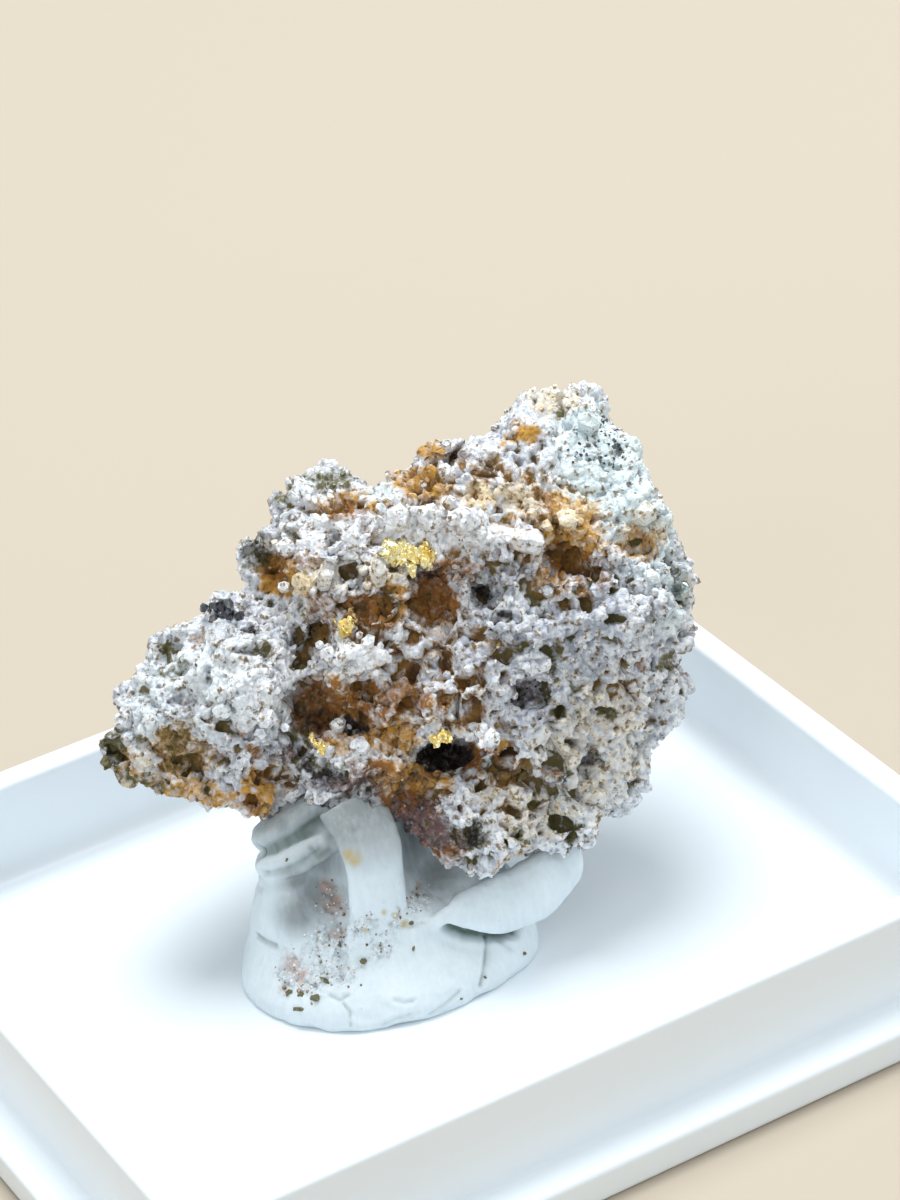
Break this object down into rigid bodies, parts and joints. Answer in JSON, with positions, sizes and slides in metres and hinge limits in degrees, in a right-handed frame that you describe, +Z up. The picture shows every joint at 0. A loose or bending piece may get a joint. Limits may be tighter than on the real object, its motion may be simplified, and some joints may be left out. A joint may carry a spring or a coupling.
{
  "type": "gold on matrix",
  "caption": "Vuggy quartz matrix with leafy gold and iron-stained hollows, held by putty on the floor of the white base of a small specimen box.",
  "frame": {"origin": "centre of the box base's underside", "axes": "+X along the long side of the box base, +Y across it away from the specimen's show face, +Z up"},
  "size_m": [0.04, 0.034, 0.0205],
  "materials": {
    "box": "moulded white polystyrene, smooth with a soft gloss",
    "putty": "kneaded pale blue-grey mounting putty, matt with fine wrinkles and specks of rock dust",
    "quartz": "sugary drusy quartz, white to lilac grey, with ochre, rust and olive stains in its hollows",
    "gold": "bright native gold, crumpled leaves with sharp edges",
    "dark_mineral": "purple-black crystal faces with a glassy shine",
    "bright_mineral": "silvery crystal faces with a dark green side"
  },
  "bodies": {
    "root": {"box_base": "box", "mounting_putty": "putty", "quartz_matrix": "quartz", "gold_main": "gold", "gold_flake_west": "gold", "gold_grain_south": "gold", "gold_sliver": "gold", "dark_crystal": "dark_mineral", "bright_crystal": "bright_mineral"}
  },
  "joints": []
}
